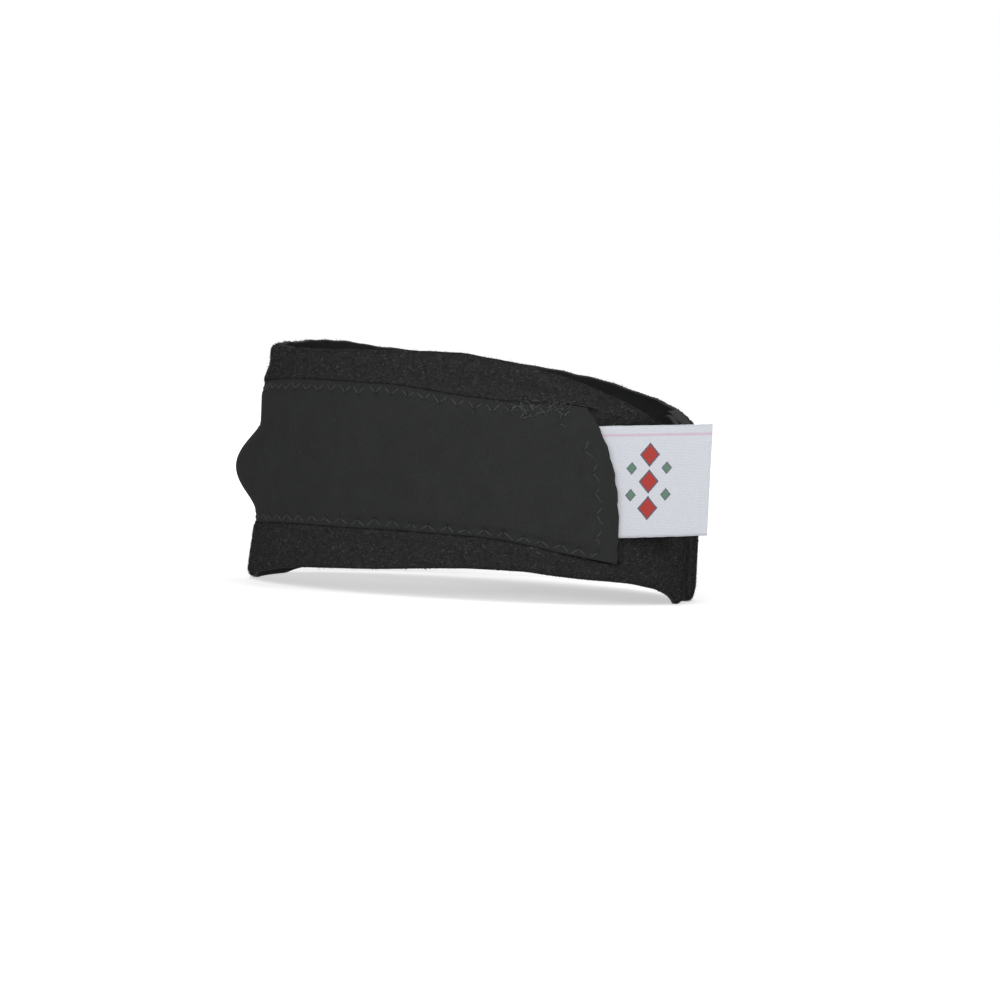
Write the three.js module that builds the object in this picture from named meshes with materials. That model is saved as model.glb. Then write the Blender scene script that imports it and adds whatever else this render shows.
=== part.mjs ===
import * as THREE from 'three';

// Patella strap, standing on its lower rim.
// Millimetres, +Z up. The front (the pad) faces -Y and the labelled side faces +X.
// A place round the loop is a turn in degrees: 0 at the front, 90 at the labelled side,
// 180 at the back, and minus values on the other side.

// The loop seen from above
const LOOP_DEPTH = 126;
const LOOP_WIDTH = 113;
const LOOP_SQUARENESS = 2.25;

// The band
const BAND_HEIGHT = 69;
const BAND_WALL = 2.8;
const RIM_ROUNDING = 0.8;
const RIM_FLARE = 3;
const RIM_FLARE_BEND = 0.35;
const RIM_TUCK = 1.1;
const TUCK_REACH = 6;
const OUTER_END_TURN = -178;
const INNER_END_TURN = 216;
const END_CORNER = 5;
const LEAST_LOWER_LOBE = 3.5;
const LEAST_UPPER_LOBE = 3;
const LAP_DIVE_START = 152;
const LAP_DIVE_END = 190;

// The cover and the recess that its seams press into the band
const COVER_HEIGHT = 41;
const COVER_WALL = 1.8;
const COVER_EDGE_ROUNDING = 1.2;
const COVER_END_TURN = 142;
const COVER_END_SLANT = 10;
const COVER_END_BEND = 3.2;
const COVER_SINK = 0.9;
const SINK_SLOPE = 1.5;
const SINK_RUN_OUT = 4;

// The foam roll behind the cover
const PAD_REACH = 12.5;
const PAD_BULGE = 7;
const PAD_TURN = 48;
const PAD_BELOW_MIDDLE = 4.2;
const PAD_CORE_REACH = 9.5;
const PAD_CORE_TURN = 36;
const PAD_ROUNDNESS = 1.5;
const PAD_FADE = 3;

// The label, caught under the end of the cover
const LABEL_HEIGHT = 31;
const LABEL_LENGTH = 30.5;
const LABEL_WALL = 0.9;
const LABEL_ROOT_TURN = 130;
const LABEL_LEAVES_TURN = 139.5;
const LABEL_SPLAY = 8;
const LABEL_MIDDLE = 34.2;
const LABEL_CLIMB = 2.2;
const LIFT_START_TURN = 122;
const LIFT_EASE = 0.35;

// The hook patch between the two lapped ends
const HOOK_WALL = 0.9;
const HOOK_TURN_MARGIN = 3;
const HOOK_START_TURN = LAP_DIVE_END + HOOK_TURN_MARGIN;
const HOOK_END_TURN = INNER_END_TURN - HOOK_TURN_MARGIN;
const HOOK_MARGIN = 2.5;

// Fits
const CLEARANCE = 0.3;
const LAP_DROP = BAND_WALL + HOOK_WALL + 2 * CLEARANCE;

// How finely the faces are cut
const BAND_STEP = 4.6;
const COVER_COLUMNS = 54;
const PAD_STEP = 6;

// Rims round the loop: top, bottom and cover middle are shares of the band height,
// cover span is a share of the cover height, flare is a share of the rim flare.
// Both sides of the loop use the same rows, and far is what the top rim gains on the side
// away from the label, as a share of the band height.
const rimRows = [
  { turn: 0, top: 1, bottom: 0, middle: 0.533, span: 1.010, flare: 1, far: 0 },
  { turn: 9, top: 0.996, bottom: 0, middle: 0.533, span: 1.007, flare: 1, far: 0.014 },
  { turn: 16, top: 0.988, bottom: 0.013, middle: 0.535, span: 1.005, flare: 0.97, far: 0.025 },
  { turn: 25, top: 0.987, bottom: 0.035, middle: 0.541, span: 0.995, flare: 0.85, far: 0.029 },
  { turn: 35, top: 0.983, bottom: 0.058, middle: 0.549, span: 0.990, flare: 0.65, far: 0.026 },
  { turn: 45, top: 0.978, bottom: 0.080, middle: 0.558, span: 0.988, flare: 0.45, far: 0.017 },
  { turn: 60, top: 0.980, bottom: 0.097, middle: 0.562, span: 0.983, flare: 0.3, far: 0 },
  { turn: 75, top: 0.987, bottom: 0.109, middle: 0.562, span: 0.976, flare: 0.28, far: -0.022 },
  { turn: 90, top: 0.991, bottom: 0.125, middle: 0.552, span: 0.951, flare: 0.28, far: -0.043 },
  { turn: 98, top: 0.988, bottom: 0.132, middle: 0.545, span: 0.934, flare: 0.28, far: -0.054 },
  { turn: 106, top: 0.977, bottom: 0.136, middle: 0.538, span: 0.924, flare: 0.28, far: -0.061 },
  { turn: 115, top: 0.954, bottom: 0.135, middle: 0.529, span: 0.941, flare: 0.28, far: -0.062 },
  { turn: 125, top: 0.919, bottom: 0.123, middle: 0.514, span: 0.980, flare: 0.22, far: -0.06 },
  { turn: 135, top: 0.875, bottom: 0.110, middle: 0.494, span: 1.002, flare: 0.12, far: -0.05 },
  { turn: 145, top: 0.822, bottom: 0.100, middle: 0.472, span: 1.010, flare: 0, far: -0.04 },
  { turn: 155, top: 0.762, bottom: 0.081, middle: 0.449, span: 1.010, flare: 0, far: -0.028 },
  { turn: 165, top: 0.716, bottom: 0.049, middle: 0.428, span: 1.010, flare: 0, far: -0.012 },
  { turn: 172, top: 0.691, bottom: 0.012, middle: 0.413, span: 1.010, flare: 0, far: -0.003 },
  { turn: 175, top: 0.684, bottom: 0, middle: 0.407, span: 1.010, flare: 0, far: 0 },
  { turn: 180, top: 0.674, bottom: 0, middle: 0.399, span: 1.010, flare: 0, far: 0 },
];

const radians = THREE.MathUtils.degToRad;
const degrees = THREE.MathUtils.radToDeg;
const smooth = THREE.MathUtils.smoothstep;

// A smooth curve through one column of the rim rows that never overshoots a row
function rimColumn(column) {
  const turns = rimRows.map((row) => row.turn);
  const values = rimRows.map((row) => row[column]);
  const last = turns.length - 1;
  const rises = turns.slice(1).map((turn, i) => (values[i + 1] - values[i]) / (turn - turns[i]));
  const slopes = turns.map((_, i) => {
    if (i === 0 || i === last || rises[i - 1] * rises[i] <= 0) {
      return 0;
    }
    return (2 * rises[i - 1] * rises[i]) / (rises[i - 1] + rises[i]);
  });
  return (turn) => {
    const folded = Math.min(Math.abs(turn), 360 - Math.abs(turn));
    const i = Math.min(turns.findLastIndex((start) => start <= folded), last - 1);
    const step = turns[i + 1] - turns[i];
    const t = (folded - turns[i]) / step;
    const start = values[i] + t * step * slopes[i];
    const end = values[i + 1] - (1 - t) * step * slopes[i + 1];
    const flat = t * t * (3 - 2 * t);
    return start * (1 - flat) + end * flat;
  };
}

const topShare = rimColumn('top');
const bottomShare = rimColumn('bottom');
const middleShare = rimColumn('middle');
const spanShare = rimColumn('span');
const flareShare = rimColumn('flare');
const farShare = rimColumn('far');

const onFarSide = (turn) => turn < 0 || turn > 180;
const bandTop = (turn) => BAND_HEIGHT * (topShare(turn) + (onFarSide(turn) ? farShare(turn) : 0));
const bandBottom = (turn) => BAND_HEIGHT * bottomShare(turn);
const coverMiddle = (turn) => BAND_HEIGHT * middleShare(turn);
const coverTop = (turn) => coverMiddle(turn) + (COVER_HEIGHT * spanShare(turn)) / 2;
const coverBottom = (turn) => coverMiddle(turn) - (COVER_HEIGHT * spanShare(turn)) / 2;

// How far a rounded edge has drawn in at a distance from that edge
function drawnIn(distance, radius) {
  const left = Math.max(radius - distance, 0);
  return radius - Math.sqrt(radius * radius - left * left);
}

// The plan curve of the band's outer face, a rounded square between circle and box
function planRadius(turn) {
  const along = Math.abs(Math.cos(radians(turn))) / (LOOP_DEPTH / 2);
  const across = Math.abs(Math.sin(radians(turn))) / (LOOP_WIDTH / 2);
  const sum = along ** LOOP_SQUARENESS + across ** LOOP_SQUARENESS;
  return sum ** (-1 / LOOP_SQUARENESS);
}

function planPoint(turn) {
  const radius = planRadius(turn);
  return new THREE.Vector2(radius * Math.sin(radians(turn)), -radius * Math.cos(radians(turn)));
}

// The direction of travel round the loop at a turn
function planTangent(turn) {
  const small = 0.01;
  return planPoint(turn + small).sub(planPoint(turn - small)).normalize();
}

const outward = (tangent) => new THREE.Vector2(tangent.y, -tangent.x);

// A point at a turn, a height and a distance out from the plan curve
function place(turn, height, out) {
  const spot = planPoint(turn).addScaledVector(outward(planTangent(turn)), out);
  return [spot.x, spot.y, height];
}

const turnPerMillimetre = (turn) => degrees(1 / planRadius(turn));

// The band's outer face: the lower rim flares out, the upper one tucks in, and the
// cover's seams press the middle in
function bandFace(turn, height) {
  const low = coverBottom(turn);
  const high = coverTop(turn);
  const lobe = THREE.MathUtils.clamp((low - height) / (low - bandBottom(turn)), 0, 1);
  const flare = RIM_FLARE * flareShare(turn) * lobe ** RIM_FLARE_BEND;
  const tuck = RIM_TUCK * flareShare(turn) * smooth(height, high, high + TUCK_REACH);
  const below = smooth(height, low - SINK_SLOPE, low);
  const above = 1 - smooth(height, high, high + SINK_SLOPE);
  const along = 1 - smooth(Math.abs(turn), COVER_END_TURN, COVER_END_TURN + SINK_RUN_OUT);
  const dive = LAP_DROP * smooth(turn, LAP_DIVE_START, LAP_DIVE_END);
  return flare - tuck - COVER_SINK * below * above * along - dive;
}

// How far the cover is pushed out by the roll behind it
function bulge(turn, height) {
  const distance = (height - coverMiddle(turn) + PAD_BELOW_MIDDLE) / PAD_REACH;
  const across = Math.max(1 - distance * distance, 0) ** PAD_ROUNDNESS;
  const round = Math.max(1 - (Math.abs(turn) / PAD_TURN) ** PAD_FADE, 0) ** PAD_ROUNDNESS;
  return PAD_BULGE * across * round;
}

// How far the end of the cover is lifted by the label caught under it
function coverLift(turn) {
  const root = (LABEL_WALL + CLEARANCE) * smooth(turn, LIFT_START_TURN, LABEL_ROOT_TURN);
  return root + LIFT_EASE * smooth(turn, LABEL_LEAVES_TURN - 1, COVER_END_TURN);
}

const coverBack = (turn, height) =>
  bandFace(turn, height) + CLEARANCE + bulge(turn, height) + coverLift(turn);

// A closed solid from stations of rungs, each rung an outer and an inner point
function ladderSolid(stations) {
  const rungs = stations[0].length;
  const positions = stations.flat().flatMap((rung) => [...rung.outer, ...rung.inner]);
  const outer = (column, row) => (column * rungs + row) * 2;
  const inner = (column, row) => outer(column, row) + 1;
  const faces = [];
  const quad = (a, b, c, d) => faces.push(a, b, c, a, c, d);
  for (let c = 0; c < stations.length - 1; c += 1) {
    for (let r = 0; r < rungs - 1; r += 1) {
      quad(outer(c, r), outer(c + 1, r), outer(c + 1, r + 1), outer(c, r + 1));
      quad(inner(c, r), inner(c, r + 1), inner(c + 1, r + 1), inner(c + 1, r));
    }
    const top = rungs - 1;
    quad(outer(c, 0), inner(c, 0), inner(c + 1, 0), outer(c + 1, 0));
    quad(outer(c, top), outer(c + 1, top), inner(c + 1, top), inner(c, top));
  }
  const last = stations.length - 1;
  for (let r = 0; r < rungs - 1; r += 1) {
    quad(outer(0, r), outer(0, r + 1), inner(0, r + 1), inner(0, r));
    quad(outer(last, r), inner(last, r), inner(last, r + 1), outer(last, r + 1));
  }
  const geometry = new THREE.BufferGeometry();
  geometry.setAttribute('position', new THREE.Float32BufferAttribute(positions, 3));
  geometry.setIndex(faces);
  geometry.computeVertexNormals();
  return geometry;
}

// Even turns between two ends, with extra ones close to both ends for the rounded corners
function turnsBetween(start, end, step, endDistances) {
  const near = endDistances.map((d) => start + d * turnPerMillimetre(start));
  const far = endDistances.map((d) => end - d * turnPerMillimetre(end)).reverse();
  const from = near[near.length - 1];
  const count = Math.round((far[0] - from) / step);
  const stride = (far[0] - from) / count;
  const between = Array.from({ length: count - 1 }, (_, i) => from + (i + 1) * stride);
  return [...near, ...between, ...far];
}

const fromEnd = (turn, start, end) =>
  Math.min((turn - start) / turnPerMillimetre(start), (end - turn) / turnPerMillimetre(end));

// The band
function bandStation(turn) {
  const end = Math.max(fromEnd(turn, OUTER_END_TURN, INNER_END_TURN), 0);
  const corner = drawnIn(end, END_CORNER);
  const bottom = bandBottom(turn) + corner;
  const top = bandTop(turn) - corner;
  const low = Math.max(coverBottom(turn), bottom + LEAST_LOWER_LOBE);
  const high = Math.min(coverTop(turn), top - LEAST_UPPER_LOBE);
  const heights = [
    bottom,
    bottom + RIM_ROUNDING * 0.3,
    bottom + RIM_ROUNDING,
    (bottom + low - SINK_SLOPE) / 2,
    low - SINK_SLOPE,
    low - SINK_SLOPE / 2,
    low,
    low + (high - low) / 3,
    low + (2 * (high - low)) / 3,
    high,
    high + SINK_SLOPE / 2,
    high + SINK_SLOPE,
    top - RIM_ROUNDING,
    top - RIM_ROUNDING * 0.3,
    top,
  ];
  return heights.map((height) => {
    const edge = Math.min(height - bottom, top - height, end);
    const inset = drawnIn(edge, RIM_ROUNDING);
    const face = bandFace(turn, height);
    return {
      outer: place(turn, height, face - inset),
      inner: place(turn, height, face - BAND_WALL + inset),
    };
  });
}

const bandEndDistances = [0, RIM_ROUNDING * 0.3, RIM_ROUNDING, 2.2, END_CORNER];
const bandTurns = turnsBetween(OUTER_END_TURN, INNER_END_TURN, BAND_STEP, bandEndDistances);
const bandShape = ladderSolid(bandTurns.map(bandStation));

// The cover, whose columns fan out to meet its slanted ends
const coverEdgeShares = [0, 0.012, 0.032];
const coverMiddleShares = [0.08, 0.14, 0.2, 0.26, 0.32, 0.38, 0.44, 0.5, 0.56, 0.62, 0.7, 0.84];
const coverShares = [
  ...coverEdgeShares,
  ...coverMiddleShares,
  ...coverEdgeShares.map((share) => 1 - share).reverse(),
];

// The end of the cover slants: its top corner stops short of its bottom corner
const coverEnd = (share) => COVER_END_TURN - COVER_END_SLANT * share ** COVER_END_BEND;

function coverStation(along) {
  return coverShares.map((share) => {
    const end = coverEnd(share);
    const turn = end * along;
    const height = THREE.MathUtils.lerp(coverBottom(turn), coverTop(turn), share);
    const edge = Math.min(
      height - coverBottom(turn),
      coverTop(turn) - height,
      (end - Math.abs(turn)) / turnPerMillimetre(turn),
    );
    const back = coverBack(turn, height);
    const front = back + COVER_WALL - drawnIn(edge, COVER_EDGE_ROUNDING);
    return { outer: place(turn, height, front), inner: place(turn, height, back) };
  });
}

const coverEndColumns = [1, 0.9968, 0.991];
const coverInner = Array.from({ length: COVER_COLUMNS + 1 }, (_, i) => (2 * i) / COVER_COLUMNS - 1);
const coverColumns = [
  ...coverEndColumns.map((share) => -share),
  ...coverInner.slice(1, -1),
  ...coverEndColumns.slice().reverse(),
];
const coverShape = ladderSolid(coverColumns.map(coverStation));

// The foam roll
const padShares = [-1, -0.75, -0.5, -0.25, 0, 0.25, 0.5, 0.75, 1];

function padStation(turn) {
  const middle = coverMiddle(turn) - PAD_BELOW_MIDDLE;
  return padShares.map((share) => {
    const height = middle + share * PAD_CORE_REACH;
    const face = bandFace(turn, height);
    return {
      outer: place(turn, height, face + bulge(turn, height)),
      inner: place(turn, height, face + CLEARANCE),
    };
  });
}

const padTurns = turnsBetween(-PAD_CORE_TURN, PAD_CORE_TURN, PAD_STEP, [0]);
const padShape = ladderSolid(padTurns.map(padStation));

// The label: a root that lies on the band, then a flat flag that leaves it
const labelRoot = (LABEL_LEAVES_TURN - LABEL_ROOT_TURN) / turnPerMillimetre(LABEL_LEAVES_TURN);

function labelStation(spot, tangent, travelled) {
  const climb = LABEL_CLIMB * (travelled / (labelRoot + LABEL_LENGTH));
  const front = spot.clone().addScaledVector(outward(tangent), LABEL_WALL);
  return [-0.5, 0.5].map((share) => {
    const height = LABEL_MIDDLE + climb + share * LABEL_HEIGHT;
    return { outer: [front.x, front.y, height], inner: [spot.x, spot.y, height] };
  });
}

function onBand(turn) {
  const out = bandFace(turn, coverMiddle(turn)) + CLEARANCE;
  return planPoint(turn).addScaledVector(outward(planTangent(turn)), out);
}

const rootStations = [0, 0.25, 0.5, 0.75, 1].map((share) => {
  const turn = THREE.MathUtils.lerp(LABEL_ROOT_TURN, LABEL_LEAVES_TURN, share);
  return labelStation(onBand(turn), planTangent(turn), labelRoot * share);
});
const flagTangent = planTangent(LABEL_LEAVES_TURN).rotateAround(new THREE.Vector2(), -radians(LABEL_SPLAY));
const flagStations = [0.25, 0.5, 0.75, 1].map((share) => {
  const spot = onBand(LABEL_LEAVES_TURN).addScaledVector(flagTangent, LABEL_LENGTH * share);
  return labelStation(spot, flagTangent, labelRoot + LABEL_LENGTH * share);
});
const labelShape = ladderSolid([...rootStations, ...flagStations]);

// The hook patch, on the inner face of the outer end
const hookShares = [0, 0.25, 0.5, 0.75, 1];

function hookStation(turn) {
  const bottom = bandBottom(turn) + HOOK_MARGIN;
  const top = bandTop(turn) - HOOK_MARGIN;
  const wrapped = turn - 360;
  return hookShares.map((share) => {
    const height = THREE.MathUtils.lerp(bottom, top, share);
    const back = bandFace(wrapped, height) - BAND_WALL - CLEARANCE;
    return { outer: place(turn, height, back), inner: place(turn, height, back - HOOK_WALL) };
  });
}

const hookTurns = turnsBetween(HOOK_START_TURN, HOOK_END_TURN, BAND_STEP, [0]);
const hookShape = ladderSolid(hookTurns.map(hookStation));

// Finishes
const finishes = {
  plush: { color: 0x232524, roughness: 0.95 },
  smoothCloth: { color: 0x262726, roughness: 0.8 },
  foam: { color: 0x2c2c2c, roughness: 0.9 },
  wovenLabel: { color: 0xe6e7ea, roughness: 0.8 },
  hooks: { color: 0x1d1d1e, roughness: 0.6 },
};

const pieces = [
  { name: 'band', shape: bandShape, finish: finishes.plush },
  { name: 'cover', shape: coverShape, finish: finishes.smoothCloth },
  { name: 'tendon_pad', shape: padShape, finish: finishes.foam },
  { name: 'label', shape: labelShape, finish: finishes.wovenLabel },
  { name: 'hook_patch', shape: hookShape, finish: finishes.hooks },
];

// The origin is under the middle of everything, at the height of the lower rim
const extent = new THREE.Box3();
for (const piece of pieces) {
  piece.shape.computeBoundingBox();
  extent.union(piece.shape.boundingBox);
}
const middle = extent.getCenter(new THREE.Vector3());

const strap = new THREE.Group();
strap.name = 'patella_strap';
for (const piece of pieces) {
  piece.shape.translate(-middle.x, -middle.y, -extent.min.z);
  const mesh = new THREE.Mesh(piece.shape, new THREE.MeshStandardMaterial(piece.finish));
  mesh.name = piece.name;
  strap.add(mesh);
}

export default strap;
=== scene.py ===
# %% [markdown]
# # A knee strap of foam, plush and smooth knit
# The strap is one loop. A plush foam band goes round, a smooth cover is sewn on it over a
# foam roll, and a small folded label is caught under the end of the cover.
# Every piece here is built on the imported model, so it starts by loading that.

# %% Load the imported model
import math
import bpy
import numpy as np
from mathutils import Matrix, Vector


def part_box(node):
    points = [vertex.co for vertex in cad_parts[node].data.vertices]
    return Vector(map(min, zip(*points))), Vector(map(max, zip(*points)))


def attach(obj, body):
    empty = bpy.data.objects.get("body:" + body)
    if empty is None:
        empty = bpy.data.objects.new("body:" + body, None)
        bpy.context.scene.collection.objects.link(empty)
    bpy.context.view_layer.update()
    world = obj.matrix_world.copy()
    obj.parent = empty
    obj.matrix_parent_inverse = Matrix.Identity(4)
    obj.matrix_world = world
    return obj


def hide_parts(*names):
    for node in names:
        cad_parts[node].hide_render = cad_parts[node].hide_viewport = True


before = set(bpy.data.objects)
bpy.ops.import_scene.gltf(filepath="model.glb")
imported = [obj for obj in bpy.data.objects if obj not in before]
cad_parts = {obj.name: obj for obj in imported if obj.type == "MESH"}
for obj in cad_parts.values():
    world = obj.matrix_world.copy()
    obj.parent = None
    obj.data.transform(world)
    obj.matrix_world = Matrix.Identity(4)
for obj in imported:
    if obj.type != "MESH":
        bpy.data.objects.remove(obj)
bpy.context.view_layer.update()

# %% [markdown]
# ## The camera
# The photo was taken almost level and a little behind the labelled side. A camera can be
# aimed with a constraint, but writing its three directions out keeps the slight roll of the
# photo, so the directions are worked out from three angles.

# %% Place the camera
camera_place = Vector((0.96392, 0.26363, 0.06981))
camera_side = math.radians(105)
camera_rise = math.radians(2.5)
camera_roll = math.radians(2.8)
camera_lens = 124.14

back = Vector((
    math.sin(camera_side) * math.cos(camera_rise),
    -math.cos(camera_side) * math.cos(camera_rise),
    math.sin(camera_rise),
))
level = Vector((math.cos(camera_side), math.sin(camera_side), 0))
upright = back.cross(level)
right = level * math.cos(camera_roll) + upright * math.sin(camera_roll)
up = back.cross(right)
camera_lens_data = bpy.data.cameras.new("camera")
camera_lens_data.lens = camera_lens
camera = bpy.data.objects.new("camera", camera_lens_data)
camera_turn = Matrix((right, up, back)).transposed().to_4x4()
camera.matrix_world = Matrix.Translation(camera_place) @ camera_turn
bpy.context.scene.collection.objects.link(camera)
bpy.context.scene.camera = camera
print("camera looks along", [round(-c, 3) for c in back])

# %% [markdown]
# ## The rims
# All lengths are millimetres until a mesh is made. A place round the loop is a turn in
# degrees: 0 at the front, 90 at the labelled side, 180 at the back. The rims rise and fall
# along the loop, and a short table with a smooth curve through it is easier to read and to
# change than a mesh drawn by hand. Each row holds shares of the band's or the cover's
# height at one turn. The other half of the loop is the mirror image, apart from the last
# column, which lets the far side stand a little lower.

# %% Set down the rims
band_height, cover_height = 69, 41
# turn, top, bottom, middle of the cover, span of the cover, flare, rise of the far side
rim_rows = np.array([
    (0, 1, 0, 0.533, 1.010, 1, 0),
    (9, 0.996, 0, 0.533, 1.007, 1, 0.014),
    (16, 0.988, 0.013, 0.535, 1.005, 0.97, 0.025),
    (25, 0.987, 0.035, 0.541, 0.995, 0.85, 0.029),
    (35, 0.983, 0.058, 0.549, 0.990, 0.65, 0.026),
    (45, 0.978, 0.080, 0.558, 0.988, 0.45, 0.017),
    (60, 0.980, 0.097, 0.562, 0.983, 0.3, 0),
    (75, 0.987, 0.109, 0.562, 0.976, 0.28, -0.022),
    (90, 0.991, 0.125, 0.552, 0.951, 0.28, -0.043),
    (98, 0.988, 0.132, 0.545, 0.934, 0.28, -0.054),
    (106, 0.977, 0.136, 0.538, 0.924, 0.28, -0.061),
    (115, 0.954, 0.135, 0.529, 0.941, 0.28, -0.062),
    (125, 0.919, 0.123, 0.514, 0.980, 0.22, -0.060),
    (135, 0.875, 0.110, 0.494, 1.002, 0.12, -0.050),
    (145, 0.822, 0.100, 0.472, 1.010, 0, -0.040),
    (155, 0.762, 0.081, 0.449, 1.010, 0, -0.028),
    (165, 0.716, 0.049, 0.428, 1.010, 0, -0.012),
    (172, 0.691, 0.012, 0.413, 1.010, 0, -0.003),
    (175, 0.684, 0, 0.407, 1.010, 0, 0),
    (180, 0.674, 0, 0.399, 1.010, 0, 0),
])
print("rim rows", len(rim_rows))

# %% [markdown]
# ## Smooth curves for the rims
# Between two rows of the table the height has to glide, with no bump past either row. A
# spline would overshoot, so the slope at each row is the mean that never does.

# %% Draw a smooth curve through a column of the rims
def rim_curve(column):
    turns, values = rim_rows[:, 0], rim_rows[:, column]
    rises = np.diff(values) / np.diff(turns)
    slopes = np.zeros(len(values))
    for i in range(1, len(values) - 1):
        if rises[i - 1] * rises[i] > 0:
            slopes[i] = 2 * rises[i - 1] * rises[i] / (rises[i - 1] + rises[i])

    def at(turn):
        folded = np.minimum(np.abs(turn), 360 - np.abs(turn))
        i = np.clip(np.searchsorted(turns, folded, side="right") - 1, 0, len(turns) - 2)
        step = turns[i + 1] - turns[i]
        t = (folded - turns[i]) / step
        start = values[i] + t * step * slopes[i]
        end = values[i + 1] - (1 - t) * step * slopes[i + 1]
        flat = t * t * (3 - 2 * t)
        return start * (1 - flat) + end * flat

    return at


top_share, bottom_share, middle_share, span_share, flare_share, far_share = (
    rim_curve(column) for column in range(1, 7)
)
print("curves through the rims", rim_rows.shape[1] - 1)

# %% [markdown]
# ## Heights
# The band's own rims and the cover's two edges are what all the pieces are measured from,
# so each gets a small function. The far side stands a little lower than the near one.

# %% Heights of the rims and of the cover
def smooth(x, low, high):
    t = np.clip((x - low) / (high - low), 0, 1)
    return t * t * (3 - 2 * t)


def band_top(turn):
    return band_height * (top_share(turn) + np.where((turn < 0) | (turn > 180), far_share(turn), 0))


def band_bottom(turn):
    return band_height * bottom_share(turn)


def cover_top(turn):
    return band_height * middle_share(turn) + cover_height * span_share(turn) / 2


def cover_bottom(turn):
    return band_height * middle_share(turn) - cover_height * span_share(turn) / 2


side_rims = [round(float(rim(90)), 1) for rim in (band_bottom, band_top)]
print("rims at the labelled side in mm", side_rims)

# %% [markdown]
# ## From turns to points
# Seen from above the loop is a rounded square, between a circle and a box. Each face of each
# piece lies some distance out from that curve, so one function turns a turn, a height and a
# distance out into a point. The curve's own length is tabled once, because stitches and
# threads are spaced by length and not by angle.

# %% Points round the loop
loop_depth, loop_width, loop_squareness, rim_flare = 126, 113, 2.25, 3
front_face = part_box("band")[0].y * 1000
row_shift = front_face + loop_depth / 2 + rim_flare


def plan_point(turn):
    angle = np.radians(turn)
    along = np.abs(np.cos(angle)) / (loop_depth / 2)
    across = np.abs(np.sin(angle)) / (loop_width / 2)
    radius = (along**loop_squareness + across**loop_squareness) ** (-1 / loop_squareness)
    return np.stack([radius * np.sin(angle), -radius * np.cos(angle)], -1)


def plan_tangent(turn):
    ahead = plan_point(np.asarray(turn) + 0.01) - plan_point(np.asarray(turn) - 0.01)
    return ahead / np.linalg.norm(ahead, axis=-1, keepdims=True)


def place(turn, height, out):
    turn, height, out = np.broadcast_arrays(np.asarray(turn, float), height, out)
    tangent = plan_tangent(turn)
    spot = plan_point(turn) + np.stack([tangent[..., 1], -tangent[..., 0]], -1) * out[..., None]
    return np.stack([spot[..., 0], spot[..., 1] + row_shift, height], -1) / 1000


table_turns = np.arange(-200, 230, 0.25)
table_steps = np.linalg.norm(np.diff(plan_point(table_turns), axis=0), axis=1)
table_lengths = np.concatenate([[0], np.cumsum(table_steps)])
table_lengths -= np.interp(0, table_turns, table_lengths)


def length_at(turn):
    return np.interp(turn, table_turns, table_lengths)


def turn_at(length):
    return np.interp(length, table_lengths, table_turns)


def turn_per_mm(turn):
    return np.degrees(1 / np.linalg.norm(plan_point(turn), axis=-1))


print("loop length in mm", round(float(length_at(180) - length_at(-180)), 1))

# %% [markdown]
# ## How far out each face lies
# The band flares at its lower rim, tucks in at its upper rim, is pressed in under the cover
# and swells a little beside it. At the back its outer end dives over the inner one. Each of
# these is a smooth rise or fall added to the loop, which is easier to tune than sculpted
# points.

# %% Face of the band
rim_flare_bend, rim_tuck, tuck_reach, clearance = 0.35, 1.1, 6, 0.3
lap_dive_start, lap_dive_end, lap_drop = 168, 193, 4.3
cover_end_turn, cover_end_slant, cover_end_bend = 142, 10, 3.2
cover_sink, sink_slope, sink_run_out, press_start, label_clear_share = 0.9, 0.22, 4, 0.1, 0.93
seam_swell, seam_swell_reach = 0.45, 3


def drawn_in(distance, radius):
    left = np.maximum(radius - distance, 0)
    return radius - np.sqrt(radius * radius - left * left)


def band_face(turn, height):
    low, high = cover_bottom(turn), cover_top(turn)
    lobe = np.clip((low - height) / (low - band_bottom(turn)), 0, 1)
    flare = rim_flare * flare_share(turn) * lobe**rim_flare_bend
    tuck = rim_tuck * flare_share(turn) * smooth(height, high, high + tuck_reach)
    past_edge = np.maximum(low - height, height - high)
    share = (height - low) / (high - low)
    end = cover_end_turn - cover_end_slant * smooth(share, label_clear_share, 1)
    along = 1 - smooth(np.abs(turn), end, end + sink_run_out)
    sink = cover_sink * (1 - smooth(past_edge, -press_start, sink_slope))
    swell = seam_swell * np.exp(-((np.maximum(past_edge, 0) / seam_swell_reach) ** 2))
    swell *= past_edge > 0
    dive = lap_drop * smooth(turn, lap_dive_start, lap_dive_end)
    return flare - tuck + (swell * smooth(past_edge, 0, sink_slope) - sink) * along - dive


lowest_front = round(float(band_face(0, 0)), 2)
print("flare of the lower rim at the front in mm", lowest_front)

# %% [markdown]
# ## What lies under the cover
# At the front the cover rides over a roll of foam, and near its end over the root of the
# label. Each lifts the cover's back off the band by a smooth amount, so one function adds
# them up, and the roll, the label and the cover can't run into each other.

# %% Back of the cover
roll_reach, roll_bulge, roll_turn, roll_below = 12.5, 7, 48, 4.2
roll_roundness, roll_fade = 1.5, 3
label_wall, label_root_turn, label_leaves_turn = 0.9, 130, 139.5
lift_start_turn, lift_ease = 122, 0.35


def bulge(turn, height):
    middle = band_height * middle_share(turn) - roll_below
    across = np.maximum(1 - ((height - middle) / roll_reach) ** 2, 0) ** roll_roundness
    round_way = np.maximum(1 - (np.abs(turn) / roll_turn) ** roll_fade, 0) ** roll_roundness
    return roll_bulge * across * round_way


def cover_back(turn, height):
    root = (label_wall + clearance) * smooth(turn, lift_start_turn, label_root_turn)
    lift = root + lift_ease * smooth(turn, label_leaves_turn - 1, cover_end_turn)
    return band_face(turn, height) + clearance + bulge(turn, height) + lift


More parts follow.
